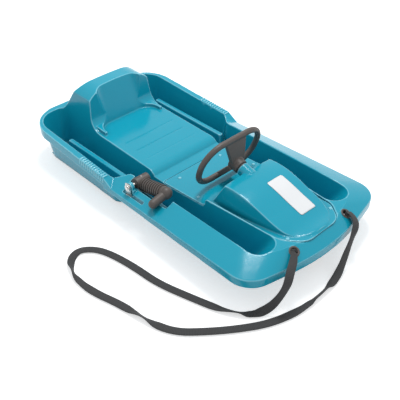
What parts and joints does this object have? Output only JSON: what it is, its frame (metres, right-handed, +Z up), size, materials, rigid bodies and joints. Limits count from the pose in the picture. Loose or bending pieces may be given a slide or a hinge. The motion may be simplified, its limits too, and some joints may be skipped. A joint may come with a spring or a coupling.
{
  "type": "steering sled",
  "caption": "Child's moulded plastic steering sled: tub with seat, backrest and leg wells, hood over the steering gear, turning wheel and skid, hand brake and tow strap.",
  "frame": {"origin": "middle of the sled's footprint, on the ground under the runner ribs", "axes": "+X forward to the nose, +Y to the rider's left, +Z up"},
  "size_m": [0.995, 0.7211, 0.2455],
  "materials": {
    "tub_plastic": "glossy moulded plastic",
    "dark_plastic": "dark moulded plastic, fine grain",
    "steel": "zinc-plated steel",
    "webbing": "woven webbing"
  },
  "bodies": {
    "tub": {"tub_shell": "tub_plastic", "console_cover": "tub_plastic", "console_screws": "tub_plastic", "shaft_bush_rear": "dark_plastic", "shaft_bush_front": "dark_plastic", "king_bolt": "steel", "king_washer": "steel", "king_nut": "steel", "tow_strap": "webbing", "strap_knot_left": "webbing", "strap_knot_right": "webbing"},
    "steering": {"steering_wheel": "dark_plastic", "wheel_screw": "steel", "wheel_washer": "steel", "steering_shaft": "steel", "shaft_retainer": "steel", "steering_crank": "dark_plastic", "crank_pin": "steel"},
    "skid": {"steering_skid": "dark_plastic"},
    "brake": {"brake_lever": "dark_plastic", "lever_pin": "steel", "brake_pivot_pin": "steel", "claw_push_nut": "steel", "brake_claw": "steel"}
  },
  "joints": [
    {"name": "steering_turn", "type": "hinge", "parent": "tub", "child": "steering", "pos_m": [0.181, 0, 0.159], "axis": [-0.9537, 0, 0.3007], "range_deg": [-18, 18]},
    {"name": "skid_yaw", "type": "hinge", "parent": "tub", "child": "skid", "pos_m": [0.381, 0, 0.03], "axis": [0, 0, 1], "range_deg": [-15, 15]},
    {"name": "brake_pull", "type": "hinge", "parent": "tub", "child": "brake", "pos_m": [-0.014, -0.182, 0.112], "axis": [0, -1, 0], "range_deg": [0, 65]}
  ],
  "couplings": [
    {"joint": "skid_yaw", "follows": "steering_turn", "ratio": 0.82}
  ]
}
